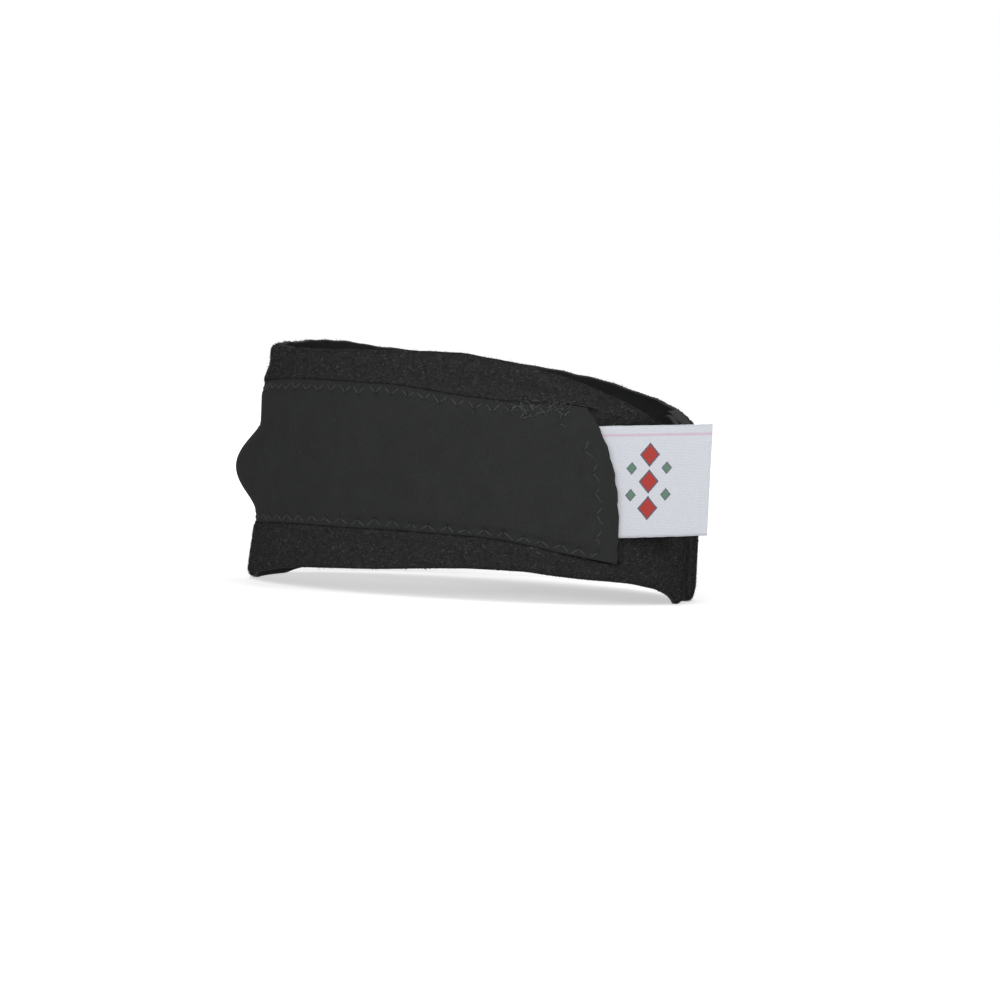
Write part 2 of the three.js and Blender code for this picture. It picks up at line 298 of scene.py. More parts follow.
def cover_end(share):
    return cover_end_turn - cover_end_slant * np.clip(share, 0, 1) ** cover_end_bend


front_middle = band_height * float(middle_share(0)) - roll_below
print("bulge of the roll in mm", round(float(bulge(0, front_middle)), 2))

# %% [markdown]
# ## Making meshes
# A strap is a long thing with a thin section, so each piece is a row of rings, one section
# after another, joined into a closed solid. Blender could skin a path or bevel a curve, but
# rings keep every point where it is wanted, and each point also gets its place on the flat
# cloth as a UV, so that ribs and weaves run along the cloth.

# %% Helpers for meshes
dice = np.random.default_rng(17)


def add_mesh(name, points, faces, uv=None, zones=None):
    mesh = bpy.data.meshes.new(name)
    mesh.from_pydata(points.reshape(-1, 3).tolist(), [], faces)
    mesh.polygons.foreach_set("use_smooth", np.ones(len(mesh.polygons), bool))
    if uv is not None:
        corners = np.empty(len(mesh.loops), np.int32)
        mesh.loops.foreach_get("vertex_index", corners)
        layer = mesh.uv_layers.new(name="flat_cloth")
        layer.data.foreach_set("uv", (uv.reshape(-1, 2)[corners] / 1000).ravel())
    if zones is not None:
        mesh.polygons.foreach_set("material_index", zones)
    mesh.validate()
    piece = bpy.data.objects.new(name, mesh)
    bpy.context.scene.collection.objects.link(piece)
    print(name, "faces", len(mesh.polygons))
    return piece


def ring_faces(count, around):
    spots = np.arange(count * around).reshape(count, around)
    near, far = spots[:-1], spots[1:]
    quads = np.stack([near, far, np.roll(far, -1, 1), np.roll(near, -1, 1)], -1)
    return quads.reshape(-1, 4).tolist() + [spots[0].tolist(), spots[-1][::-1].tolist()]


def ripple(length, reach, waves, seed):
    rolls = np.random.default_rng(seed)
    total = np.zeros_like(np.asarray(length, float))
    for wave in waves:
        total += np.sin(2 * np.pi * length / wave + rolls.uniform(0, 2 * np.pi))
    return reach * total / len(waves)


print("mesh helpers ready, dice seeded")

# %% [markdown]
# ## Making finishes
# A finish is a Principled shader with a few nodes in front of it. Nodes could be placed by
# hand in the shader editor, but written out they can be read and changed in one place. The
# first helper starts a finish, and the second adds a node and links what goes into it.

# %% Start a finish and add a node
def new_finish(name, roughness, specular, sheen=0.0):
    finish = bpy.data.materials.new(name)
    finish.use_nodes = True
    shader = finish.node_tree.nodes["Principled BSDF"]
    shader.inputs["Roughness"].default_value = roughness
    shader.inputs["Specular IOR Level"].default_value = specular
    shader.inputs["Sheen Weight"].default_value = sheen
    shader.inputs["Sheen Roughness"].default_value = 0.6
    return finish, shader


def add_node(finish, kind, sockets=(), **settings):
    made = finish.node_tree.nodes.new(kind)
    for key, value in settings.items():
        setattr(made, key, value)
    for key, value in dict(sockets).items():
        if isinstance(value, bpy.types.NodeSocket):
            finish.node_tree.links.new(value, made.inputs[key])
        else:
            made.inputs[key].default_value = value
    return made


print("finishes in the packed model", len(bpy.data.materials))

# %% [markdown]
# ## Nodes that come back
# The same few nodes come back in every cloth: a noise for grain, a ramp from dark to light,
# a sum and a bump. A picture of cloth would repeat and would need a file.

# %% Helpers for colour and relief
def speckle(finish, size_mm, detail=3.0, where="Object"):
    spots = add_node(finish, "ShaderNodeTexCoord")
    return add_node(
        finish, "ShaderNodeTexNoise",
        {"Vector": spots.outputs[where], "Scale": 1000 / size_mm, "Detail": detail},
    ).outputs["Fac"]


def shades(finish, amount, stops):
    ramp = add_node(finish, "ShaderNodeValToRGB", {"Fac": amount})
    while len(ramp.color_ramp.elements) < len(stops):
        ramp.color_ramp.elements.new(0.5)
    for element, (position, colour) in zip(ramp.color_ramp.elements, stops):
        element.position = position
        element.color = (*colour, 1)
    return ramp.outputs["Color"]


def sums(finish, operation, first, second, third=None):
    values = {0: first, 1: second}
    if third is not None:
        values[2] = third
    return add_node(finish, "ShaderNodeMath", values, operation=operation).outputs[0]


def set_bump(finish, shader, height, depth_mm, strength=1.0):
    relief = add_node(
        finish, "ShaderNodeBump",
        {"Height": height, "Distance": depth_mm / 1000, "Strength": strength},
    )
    finish.node_tree.links.new(relief.outputs["Normal"], shader.inputs["Normal"])


def set_colour(finish, shader, colour):
    finish.node_tree.links.new(colour, shader.inputs["Base Color"])
    print(finish.name, "nodes", len(finish.node_tree.nodes))


# %% [markdown]
# ## The plush finish
# The outside of the band is a looped pile that hooks grip. From a step away it reads as a
# dark grey with grains of a lighter and a darker shade, near a millimetre across. A picture
# texture would repeat, so two sizes of noise make the grains, and short fibres of real
# geometry stand on it later.

# %% Plush finish
grain_mm, fine_grain_mm, fine_share = 1.1, 0.4, 0.45
plush, plush_shader = new_finish("plush", 0.98, 0.03)
grain = speckle(plush, grain_mm, 4)
fine_grain = speckle(plush, fine_grain_mm, 2)
coarse_part = sums(plush, "MULTIPLY", grain, 1 - fine_share)
both_grains = sums(plush, "MULTIPLY_ADD", fine_grain, fine_share, coarse_part)
plush_colour = shades(plush, both_grains, [
    (0.32, (0.0090, 0.0093, 0.0091)),
    (0.50, (0.0158, 0.0162, 0.0160)),
    (0.68, (0.0235, 0.0241, 0.0238)),
])
set_colour(plush, plush_shader, plush_colour)
set_bump(plush, plush_shader, both_grains, depth_mm=0.35)

# %% [markdown]
# ## The cut foam
# The rims and the ends are cut, and show the foam between the two cloths: a little lighter
# and full of fine pores. Noise of a third of a millimetre does for pores at this size.

# %% Foam finish
foam, foam_shader = new_finish("cut_foam", 0.95, 0.05)
pores = speckle(foam, 0.35, 3)
foam_colour = shades(foam, pores, [
    (0.3, (0.0220, 0.0225, 0.0222)),
    (0.7, (0.0360, 0.0368, 0.0364)),
])
set_colour(foam, foam_shader, foam_colour)
set_bump(foam, foam_shader, pores, depth_mm=0.12)

# %% [markdown]
# ## The knits
# The lining and the cover are jerseys, with fine ribs that run up the cloth and lean a
# little, and finer courses across. Sine waves over the flat cloth give both, and noise
# breaks them up, so that they come and go as they do on real cloth.

# %% Knit finish, for the lining and for the cover
rib_lean, rib_wander, wander_mm = -0.27, 0.0012, 9.0
rib_weight, course_weight, course_mm = 0.09, 0.035, 0.62
fuzz_weight, fuzz_mm, cloud_weight, cloud_mm = 0.55, 0.5, 0.3, 6.0


def cloth_wave(finish, along, step_mm):
    turns = sums(finish, "MULTIPLY", along, 2000 * math.pi / step_mm)
    return sums(finish, "SINE", turns, 0)


def add_noise(finish, amount, size_mm, weight, detail):
    centred = sums(finish, "SUBTRACT", amount, weight / 2)
    return sums(finish, "MULTIPLY_ADD", speckle(finish, size_mm, detail), weight, centred)


def knit_finish(name, rib_mm, dark, light, roughness, specular):
    finish, shader = new_finish(name, roughness, specular)
    flat = add_node(finish, "ShaderNodeUVMap", uv_map="flat_cloth").outputs["UV"]
    split = add_node(finish, "ShaderNodeSeparateXYZ", {"Vector": flat})
    wander = sums(finish, "MULTIPLY", speckle(finish, wander_mm, 2), rib_wander)
    lean = sums(finish, "MULTIPLY_ADD", split.outputs["Y"], rib_lean, wander)
    rib = cloth_wave(finish, sums(finish, "ADD", split.outputs["X"], lean), rib_mm)
    course = cloth_wave(finish, split.outputs["Y"], course_mm)
    courses = sums(finish, "MULTIPLY_ADD", course, course_weight, 0.5)
    mixed = sums(finish, "MULTIPLY_ADD", rib, rib_weight, courses)
    mixed = add_noise(finish, mixed, fuzz_mm, fuzz_weight, 3)
    mixed = add_noise(finish, mixed, cloud_mm, cloud_weight, 2)
    set_colour(finish, shader, shades(finish, mixed, [(0.25, dark), (0.75, light)]))
    set_bump(finish, shader, mixed, depth_mm=0.16)
    return finish


# The lining's two shades are its own black, darkened further as painted shade for the inside of the
# loop.
lining_dark_painted_shade, lining_light_painted_shade = (0.006, 0.0062, 0.0063), (0.014, 0.0143, 0.0145)
cover_dark, cover_light = (0.0120, 0.0122, 0.0123), (0.0192, 0.0196, 0.0198)
lining = knit_finish("jersey_lining", 0.7, lining_dark_painted_shade, lining_light_painted_shade, 0.95, 0.04)
cover_knit = knit_finish("smooth_knit", 0.85, cover_dark, cover_light, 0.95, 0.04)

# %% [markdown]
# ## The band
# The band is one long strip of foam with plush on its outside and jersey on its inside. Its
# two ends lap at the back. A bent plane with a thickness would be quicker, but a row of
# rings lets the ends be rounded, so the rings are close together there and a millimetre
# apart elsewhere.

# %% Rings of the band
end_steps = np.array([0, 0.06, 0.2, 0.45, 0.8, 1.3, 2, 3, 4])
outer_end_turn, inner_end_turn, end_corner, ring_step = -178, 216, 5, 1.05
middle_length = length_at(inner_end_turn) - length_at(outer_end_turn) - 2 * end_corner
ring_count = int(middle_length / ring_step)
middle_turns = turn_at(np.linspace(
    length_at(outer_end_turn) + end_corner, length_at(inner_end_turn) - end_corner, ring_count
))
band_turns = np.concatenate([
    outer_end_turn + end_steps * turn_per_mm(outer_end_turn),
    middle_turns,
    inner_end_turn - end_steps[::-1] * turn_per_mm(inner_end_turn),
])
print("rings of the band", len(band_turns))

# %% [markdown]
# ## The lap
# Where the hook tape is, the foam is as thick as elsewhere. Beside the tape it swells until
# it nearly meets the end that lies under it, and at its own cut end it all but touches it,
# so that no dark gap shows. The two ends could be pressed together by a cloth simulation,
# but a rule for the thickness gives the same closed lap on each run.

# %% Fill the lap
band_wall, rim_rounding = 2.8, 2.1
hook_start_turn, hook_end_turn, hook_margin = 193, 213, 2.5
end_gap, end_reach, tape_clear, tape_ease = 0.06, 6, 0.2, 1


def lap_fill(turn, height, end):
    below = turn + 360
    low, high = band_bottom(below), band_top(below)
    edge = np.maximum(np.minimum(height - low, high - height), 0)
    inner_face = band_face(below, height) - drawn_in(edge, rim_rounding)
    room = band_face(turn, height) - band_wall - inner_face
    beside = smooth(edge, hook_margin - tape_clear - tape_ease, hook_margin - tape_clear)
    before = smooth(below, hook_start_turn - 3 * tape_ease, hook_start_turn - tape_ease)
    after = 1 - smooth(below, hook_end_turn + tape_ease, hook_end_turn + 3 * tape_ease)
    swelling = np.maximum(room - clearance, 0) * (1 - beside * before * after)
    at_end = 1 - smooth(end, 0, end_reach)
    return np.where(below < inner_end_turn, swelling + (room - end_gap - swelling) * at_end, 0)


fill_turn = outer_end_turn + 5
fill = lap_fill(fill_turn, band_bottom(fill_turn) + 1, end_reach)
print("swelling near the lower rim in mm", round(float(fill), 2))

# %% [markdown]
# ## Rows of the band
# A row is a height on each ring. The face bends at the rims and beside the cover, so it
# needs many rows there and few between. The rows by the cover's edges follow those edges,
# so that the step down to the cover is as crisp at the back as it is at the front.

# %% Heights of the rows
edge_steps = np.array([-0.8, -0.5, -0.3, -0.2, -0.11, -0.02, 0.08, 0.45])
lobe_rows, covered_rows, row_gap = 12, 24, 0.05


def row_heights(bottom, top, turns):
    reach = rim_rounding - edge_steps[0] + row_gap
    low_edge = np.maximum(cover_bottom(turns), bottom + reach)
    high_edge = np.minimum(cover_top(turns), top - reach)
    runs = []
    for start, stop, rows in (
        (bottom + rim_rounding, low_edge + edge_steps[0], lobe_rows),
        (low_edge + edge_steps[-1], high_edge - edge_steps[-1], covered_rows),
        (high_edge - edge_steps[0], top - rim_rounding, lobe_rows),
    ):
        shares = np.linspace(0, 1, rows + 2)[1:-1]
        runs.append(start[:, None] + shares * (stop - start)[:, None])
    low_steps, high_steps = low_edge[:, None] + edge_steps, high_edge[:, None] - edge_steps[::-1]
    return np.concatenate([runs[0], low_steps, runs[1], high_steps, runs[2]], 1)


print("rows between the rims", 2 * lobe_rows + covered_rows + 2 * len(edge_steps))

# %% [markdown]
# ## The two faces of the band
# The outside and the inside are made by the same steps, with other rows and other
# roundings. The rims of a real band are cut by hand and waver by a fraction of a
# millimetre, so these do too, and the corners of both ends are rounded off.

# %% Points of the band
rim_steps = np.array([0, 0.05, 0.18, 0.4, 0.75, 1.25, 2.1])
lining_rows, lining_rounding = 26, 0.6
rim_waver, rim_waves, rim_seed = 0.22, (31, 17.3, 9.1), 3


def band_rows(turns, inner):
    end = np.minimum(
        (turns - outer_end_turn) / turn_per_mm(outer_end_turn),
        (inner_end_turn - turns) / turn_per_mm(inner_end_turn),
    )
    corner = drawn_in(np.maximum(end, 0), end_corner)
    waver = ripple(length_at(turns), rim_waver, rim_waves, rim_seed)
    bottom = band_bottom(turns) + corner
    top = band_top(turns) - corner + waver
    if inner:
        shares = np.linspace(0, 1, lining_rows + 2)[1:-1]
        span = top - bottom - 2 * rim_rounding
        middle_rows = (bottom + rim_rounding)[:, None] + shares * span[:, None]
    else:
        middle_rows = row_heights(bottom, top, turns)
    heights = np.concatenate([
        bottom[:, None] + rim_steps, middle_rows, top[:, None] - rim_steps[::-1],
    ], 1)
    edge = np.minimum(np.minimum(heights - bottom[:, None], top[:, None] - heights), end[:, None])
    inset = drawn_in(np.maximum(edge, 0), lining_rounding if inner else rim_rounding)
    face = band_face(turns[:, None], heights)
    if not inner:
        return place(turns[:, None], heights, face - inset), heights
    fill = lap_fill(turns[:, None], heights, end[:, None])
    return place(turns[:, None], heights, face - band_wall + inset - fill), heights


outside, outside_heights = band_rows(band_turns, False)
inside, inside_heights = band_rows(band_turns, True)
band_points = np.concatenate([outside, inside[:, ::-1]], 1)
band_heights = np.concatenate([outside_heights, inside_heights[:, ::-1]], 1)
print("rows outside and inside", outside.shape[1], inside.shape[1])

# %% [markdown]
# ## The band's mesh
# The faces between two rows are given their finish by where they are: plush outside, foam
# round the rims and on the two cut ends, jersey inside. Three pieces could be made instead,
# but one closed piece can't open up between its cloths when it is moved.

# %% Build the band
plush_zone, foam_zone, lining_zone = 0, 1, 2
count, around = band_points.shape[:2]
band_uv = np.stack([np.repeat(length_at(band_turns)[:, None], around, 1), band_heights], -1)
row_zone = np.full(around, lining_zone)
row_zone[:outside.shape[1] - 1] = plush_zone
row_zone[outside.shape[1] - 2:outside.shape[1] + 3] = foam_zone
row_zone[-4:] = foam_zone
row_zone[0] = foam_zone
band_zones = np.append(np.tile(row_zone, count - 1), [foam_zone, foam_zone]).astype(np.int32)
band = add_mesh("plush_band", band_points, ring_faces(count, around), band_uv, band_zones)
for finish in (plush, foam, lining):
    band.data.materials.append(finish)
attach(band, "root")
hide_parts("band")

# %% [markdown]
# ## The seams of the cover
# A zigzag seam holds each long edge of the cover and each end. Its needle holes pull the
# cloth down into small dimples, so the holes are found first, and both the dimples in the
# cover and the threads on it are made from the same list.

# %% Find the needle holes
top_pitch, bottom_pitch, end_pitch = 4.8, 5.2, 6.0
top_seam, bottom_seam, end_seam = (0.5, 3.0), (0.2, 2.2), (4.3, 6.8)
top_phase, bottom_phase, seam_stop, slant_share = 0.6, 1.1, 4.5, 0.9
end_low, end_high, seam_jitter = 4, 5, (0.24, 0.2)


def long_seam(pitch, seam, top, phase):
    reach = length_at(cover_end_turn - (cover_end_slant if top else 0) * slant_share) - seam_stop
    far = int(reach / (pitch / 2))
    steps = np.arange(-far, far + 1)
    lengths = steps * pitch / 2 + phase
    turns = turn_at(lengths)
    inward = np.where(steps % 2 == 0, seam[0], seam[1])
    heights = cover_top(turns) - inward if top else cover_bottom(turns) + inward
    return np.stack([turns, heights, steps % 2], -1)


def end_seam_holes(side):
    turn = side * cover_end_turn
    low, high = cover_bottom(turn) + end_low, cover_top(turn) - end_high
    steps = np.arange(int((high - low) / (end_pitch / 2)) + 1)
    heights = low + steps * end_pitch / 2
    share = (heights - cover_bottom(turn)) / (cover_top(turn) - cover_bottom(turn))
    inward = np.where(steps % 2 == 0, end_seam[0], end_seam[1])
    turns = side * (cover_end(share) - inward * turn_per_mm(turn))
    return np.stack([turns, heights, steps % 2], -1)


seams = [
    long_seam(top_pitch, top_seam, True, top_phase),
    long_seam(bottom_pitch, bottom_seam, False, bottom_phase),
    end_seam_holes(1),
    end_seam_holes(-1),
]
for seam in seams:
    seam[:, :2] += dice.normal(0, 1, (len(seam), 2)) * seam_jitter
holes = np.concatenate(seams)
print("needle holes", len(holes))

# %% [markdown]
# ## The cover
# The cover is a smooth knit bonded to thin foam. It swells over the roll at the front, its
# edges are rounded, and a shallow groove follows each seam. Sculpting would give these
# too, but a sum of small rules keeps each of them even all round the strap.

# %% Surface of the cover
cover_wall, cover_edge_wall, cover_taper, cover_rounding = 1.8, 1.15, 4, 0.3
groove_depth, groove_width = 0.28, 1.3
hem_puff, hem_reach, hem_turn, hem_fade = 0.65, 9, 50, 40
groove_inset, end_groove_inset, groove_clear = 2.2, 5.8, 2
pucker_depth, pucker_waves, pucker_reach, pucker_seed = 0.14, (4.7, 5.4), 3.0, 5
slack_depth, slack_waves, slack_slant, slack_seed = 0.12, (47, 29), 0.35, 9


def cover_outside(turn, height, end):
    edge_long = np.minimum(height - cover_bottom(turn), cover_top(turn) - height)
    edge_end = (end - np.abs(turn)) / turn_per_mm(turn)
    edge = np.maximum(np.minimum(edge_long, edge_end), 0)
    groove = np.exp(-(((edge_long - groove_inset) / groove_width) ** 2)) * (edge_end > groove_clear)
    across = np.exp(-(((edge_end - end_groove_inset) / groove_width) ** 2))
    groove += across * (edge_long > groove_clear)
    wall = cover_edge_wall + (cover_wall - cover_edge_wall) * smooth(edge, 0, cover_taper)
    at_front = 1 - smooth(np.abs(turn), hem_turn, hem_turn + hem_fade)
    wall += hem_puff * at_front * (1 - smooth(height - cover_bottom(turn), 0, hem_reach))
    thickness = wall - drawn_in(edge, cover_rounding) - groove_depth * np.minimum(groove, 1)
    length = length_at(turn)
    pucker = ripple(length, pucker_depth, pucker_waves, pucker_seed)
    pucker *= np.exp(-edge_long / pucker_reach) * smooth(edge, 0.2, 1.5)
    slack = ripple(length + slack_slant * height, slack_depth, slack_waves, slack_seed)
    return cover_back(turn, height) + thickness + pucker + slack * smooth(edge, 3, 12)


front_out = float(cover_outside(0, front_middle, cover_end_turn))
print("the cover at the front is this far out in mm:", round(front_out, 1))

# %% [markdown]
# ## Needle dimples
# Each hole pulls the cloth in, more at the tip of the zigzag, where the thread turns. A
# dimple is a small bell of depth round its hole. Where two meet, the deeper one counts.

# %% Dimples
dimple_depth, dimple_width, even_hole = 0.5, 0.62, 0.45


def dimples(turn, height):
    depth = np.zeros(np.shape(turn))
    length = length_at(turn)
    for hole_turn, hole_height, at_tip in holes:
        away = (length - length_at(hole_turn)) ** 2 + (height - hole_height) ** 2
        pull = even_hole + (1 - even_hole) * at_tip
        depth = np.maximum(depth, pull * np.exp(-away / dimple_width**2))
    return dimple_depth * depth


print("deepest dimple in mm", round(float(dimples(holes[:, 0], holes[:, 1]).max()), 2))

# %% [markdown]
# ## Rows and rings of the cover
# Every ring runs from edge to edge outside and back inside. Its rows are close together
# near the edges, and the last few rings are close together to round the ends.

# %% Spread the rows and rings
edge_rows = np.array([
    0, 0.08, 0.25, 0.5, 0.85, 1.2, 1.55, 1.9, 2.25, 2.6, 2.95, 3.3, 3.65, 4.0, 4.5, 5.2,
])
middle_start, middle_count, half_columns = 6.2, 27, 272
share_rows = np.concatenate([
    edge_rows / cover_height,
    np.linspace(middle_start, cover_height - middle_start, middle_count) / cover_height,
    1 - edge_rows[::-1] / cover_height,
])
back_rows = np.array([1, 0.985, 0.96, 0.9, 0.8, 0.7, 0.6, 0.5, 0.4, 0.3, 0.2, 0.1, 0.04, 0.015, 0])
near_end = 1 - edge_rows[:6] / length_at(cover_end_turn)
columns = np.linspace(0, near_end[-1], half_columns)[1:]
columns = np.concatenate([columns, near_end[-2::-1]])
columns = np.concatenate([-columns[::-1], [0], columns])
print("rows and rings of the cover", len(share_rows) + len(back_rows), len(columns))

# %% [markdown]
# ## The cover's mesh
# The two ends of the cover are scalloped where the end seam pulls them in, and cut a little
# rough. A boolean could cut scallops, but moving the ends of the rows gives clean edges.

# %% Build the cover
scallop_depth, scallop_middle, end_roughness, least_wall = 0.42, 0.6, 0.10, 0.25
rough_waves, rough_seed = (2.3, 3.7), 12


def scalloped_end(share, side):
    height = share * cover_height
    wave = np.abs(np.sin(np.pi * (height - end_low) / end_pitch)) - scallop_middle
    rough = ripple(height + 40 * side, end_roughness, rough_waves, rough_seed)
    return cover_end(share) + (scallop_depth * wave + rough) * turn_per_mm(cover_end_turn)


def cover_grid(shares, outside_face):
    side = np.sign(columns)[:, None]
    end = np.where(side >= 0, scalloped_end(shares, 1)[None], scalloped_end(shares, -1)[None])
    turn = end * columns[:, None]
    low, high = cover_bottom(turn), cover_top(turn)
    height = low + (high - low) * shares
    if outside_face:
        out = cover_outside(turn, height, end) - dimples(turn, height)
        out = np.maximum(out, cover_back(turn, height) + least_wall)
    else:
        out = cover_back(turn, height)
    return place(turn, height, out), np.stack([length_at(turn), height], -1)


cover_front_points, cover_front_uv = cover_grid(share_rows, True)
cover_back_points, cover_back_uv = cover_grid(back_rows, False)
cover_points = np.concatenate([cover_front_points, cover_back_points], 1)
cover_uv = np.concatenate([cover_front_uv, cover_back_uv], 1)
cover = add_mesh("smooth_cover", cover_points, ring_faces(*cover_points.shape[:2]), cover_uv)
cover.data.materials.append(cover_knit)
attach(cover, "root")
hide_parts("cover")

# %% [markdown]
# ## Tubes
# Threads, hooks and curls of lint are all thin tubes round a line of points. Curves with a
# bevel would do, but many small tubes in one mesh are lighter and ride as one piece.

# %% Helpers for tubes
def cover_height_at(turn, height):
    share = (height - cover_bottom(turn)) / (cover_top(turn) - cover_bottom(turn))
    return cover_outside(turn, height, cover_end(share))


def tube(points, radii, sides):
    ahead = np.gradient(points, axis=0)
    ahead /= np.linalg.norm(ahead, axis=1, keepdims=True)
    first = np.cross(ahead, (0.3, 0.2, 0.93))
    first /= np.linalg.norm(first, axis=1, keepdims=True)
    second = np.cross(ahead, first)
    angles = np.arange(sides) * 2 * np.pi / sides
    ring = first[:, None] * np.cos(angles)[:, None] + second[:, None] * np.sin(angles)[:, None]
    return points[:, None] + ring * np.asarray(radii)[:, None, None]


def join_tubes(name, tubes):
    points, faces, start = [], [], 0
    for rings in tubes:
        faces += [[i + start for i in face] for face in ring_faces(*rings.shape[:2])]
        points.append(rings.reshape(-1, 3))
        start += rings.shape[0] * rings.shape[1]
    return add_mesh(name, np.concatenate(points), faces)


print("a tube of 3 sides and 7 points has faces:", len(ring_faces(7, 3)))

# %% [markdown]
# ## The threads
# Each stitch is a short thread between two holes. It comes up gently out of the even side
# of the zigzag and dives sharply at the tip, where it pulls a dimple into the cloth. No two
# are quite as thick or as tight.

# %% Build the threads
thread_radius, thread_sides, thread_swell, thread_loose = 0.26, 6, (0.75, 1.1), 0.13
even_depth, even_power, tip_depth, tip_power, dimple_follow = 0.6, 2.2, 0.5, 12, 0.6
thread_shares = np.linspace(0.06, 0.95, 11)
stitches = []
for seam in seams:
    for start, end in zip(seam[:-1], seam[1:]):
        turn = start[0] + (end[0] - start[0]) * thread_shares
        height = start[1] + (end[1] - start[1]) * thread_shares
        to_tip = thread_shares if end[2] else 1 - thread_shares
        dive = even_depth * (1 - to_tip) ** even_power + tip_depth * to_tip**tip_power
        raised = dice.uniform(0, thread_loose) - dive
        out = cover_height_at(turn, height) - dimples(turn, height) * dimple_follow + raised
        radius = thread_radius * dice.uniform(*thread_swell) / 1000
        path = place(turn, height, out)
        stitches.append(tube(path, np.full(len(path), radius), thread_sides))
threads = join_tubes("seam_threads", stitches)
print("stitches", len(stitches))

# %% [markdown]
# ## The thread's finish
# Sewing thread of polyester is smoother than the cloth round it, so it catches a little more light.

# %% Thread finish
thread, thread_shader = new_finish("seam_thread", 0.7, 0.15)
thread_colour = shades(thread, speckle(thread, 0.3), [
    (0.3, (0.0185, 0.0193, 0.0198)),
    (0.7, (0.030, 0.0312, 0.032)),
])
set_colour(thread, thread_shader, thread_colour)
threads.data.materials.append(thread)
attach(threads, "root")

# %% [markdown]
# ## The foam roll
# The roll behind the cover presses on the tendon. It is closed in, so it is a plain smooth
# form of foam with rounded ends, a little under the cloth that it fills.

# %% Build the foam roll
core_reach, core_turn = 9.5, 36
roll_rings, roll_rows, end_squareness, side_squareness, roundness = 70, 25, 12, 8, 0.985
roll_turns = np.linspace(-core_turn, core_turn, roll_rings)[:, None]
roll_shares = np.linspace(-1, 1, roll_rows)
roll_heights = band_height * middle_share(roll_turns) - roll_below + roll_shares * core_reach
roll_ends = np.sqrt(1 - (roll_turns / core_turn * roundness) ** end_squareness)
roll_sides = np.sqrt(1 - (roll_shares * roundness) ** side_squareness)
roll_back = band_face(roll_turns, roll_heights) + clearance
roll_front = band_face(roll_turns, roll_heights) + bulge(roll_turns, roll_heights)
roll_front = roll_back + (roll_front - roll_back) * roll_ends * roll_sides
roll_points = np.concatenate([
    place(roll_turns, roll_heights, roll_front),
    place(roll_turns, roll_heights, roll_back - 0.02)[:, ::-1],
], 1)
foam_roll = add_mesh("foam_roll", roll_points, ring_faces(*roll_points.shape[:2]))
foam_roll.data.materials.append(foam)
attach(foam_roll, "root")
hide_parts("tendon_pad")
print("thickest foam in mm", round(float((roll_front - roll_back).max()), 1))

# %% [markdown]
# ## The label
# The label is one woven strip folded in two, so it has two plies, a round fold at its free
# end and raw edges above and below. Its path seen from above is drawn first, with the near
# ply, the fold and the far ply, and then given a thickness.

# %% Path of the label
label_length, label_splay, ply = 30.5, 8, 0.38
root_steps, flag_count, bow_depth = 8, 40, 0.25
label_root = (label_leaves_turn - label_root_turn) / float(turn_per_mm(label_leaves_turn))


def outward(tangent):
    return np.stack([tangent[..., 1], -tangent[..., 0]], -1)


def on_band(turn):
    out = band_face(turn, band_height * middle_share(turn)) + clearance
    return plan_point(turn) + outward(plan_tangent(turn)) * np.asarray(out)[..., None]


leaves = np.asarray(float(label_leaves_turn))
splay = math.radians(-label_splay)
leave_tangent = plan_tangent(leaves)
flag_tangent = np.array([
    leave_tangent[0] * math.cos(splay) - leave_tangent[1] * math.sin(splay),
    leave_tangent[0] * math.sin(splay) + leave_tangent[1] * math.cos(splay),
])
flag_out = outward(flag_tangent)
root_turns = np.linspace(label_root_turn, label_leaves_turn, root_steps + 1)[:-1]
root_travel = np.linspace(0, label_root, root_steps + 1)[:-1]
flag_steps = np.linspace(0, label_length - label_wall / 2, flag_count)
bow = bow_depth * np.sin(np.pi * flag_steps / label_length) ** 2
label_line = np.concatenate([
    on_band(root_turns),
    on_band(leaves) + flag_tangent * flag_steps[:, None] + flag_out * bow[:, None],
])
label_out = np.concatenate([
    outward(plan_tangent(root_turns)), np.tile(flag_out, (flag_count, 1)),
])
label_travel = np.concatenate([root_travel, label_root + flag_steps])
print("length of one ply in mm", round(float(label_travel[-1]), 1))

# %% [markdown]
# ## The fold
# The strip goes out along the near ply, round the fold and back along the far one, so the
# three lines are joined into one. Its own length along the cloth is measured on the way.

# %% Fold the strip
fold_steps, fold_pad = 8, 0.3
fold_angles = np.linspace(0, np.pi, fold_steps + 2)[1:-1, None]
fold_radius = (label_wall - ply) / 2
fold_middle = label_line[-1] + flag_out * label_wall / 2
fold_out = np.cos(fold_angles) * flag_out + np.sin(fold_angles) * flag_tangent
near_ply = label_line + label_out * (label_wall - ply / 2)
far_ply = (label_line + label_out * ply / 2)[::-1]
strip = np.concatenate([near_ply, fold_middle + fold_out * fold_radius, far_ply])
strip_out = np.concatenate([label_out, fold_out, -label_out[::-1]])
fold_travel = np.full(fold_steps, label_travel[-1] + fold_pad)
travel = np.concatenate([label_travel, fold_travel, label_travel[::-1]])
flat_travel = np.concatenate([[0], np.cumsum(np.linalg.norm(np.diff(strip, axis=0), axis=1))])
print("label strip length in mm", round(float(flat_travel[-1]), 1))

# %% [markdown]
# ## The label's mesh
# The label climbs a little towards its free end. Its edges waver, as cut ones do, and each
# ply thins towards them.

# %% Build the label
label_height, label_middle, label_climb, half_rows = 31, 34.2, 2.2, 32
edge_thinning, thinning_power = 0.35, 14
edge_waver_depth, edge_waves, edge_seed = 0.10, (7.3, 4.1), 21
label_rows = np.linspace(-0.5, 0.5, half_rows)
climb = label_climb * travel / (label_root + label_length)
edge_waver = ripple(flat_travel, edge_waver_depth, edge_waves, edge_seed)
tall = label_height + 2 * edge_waver[:, None] * np.abs(label_rows)
heights = label_middle + climb[:, None] + label_rows * tall


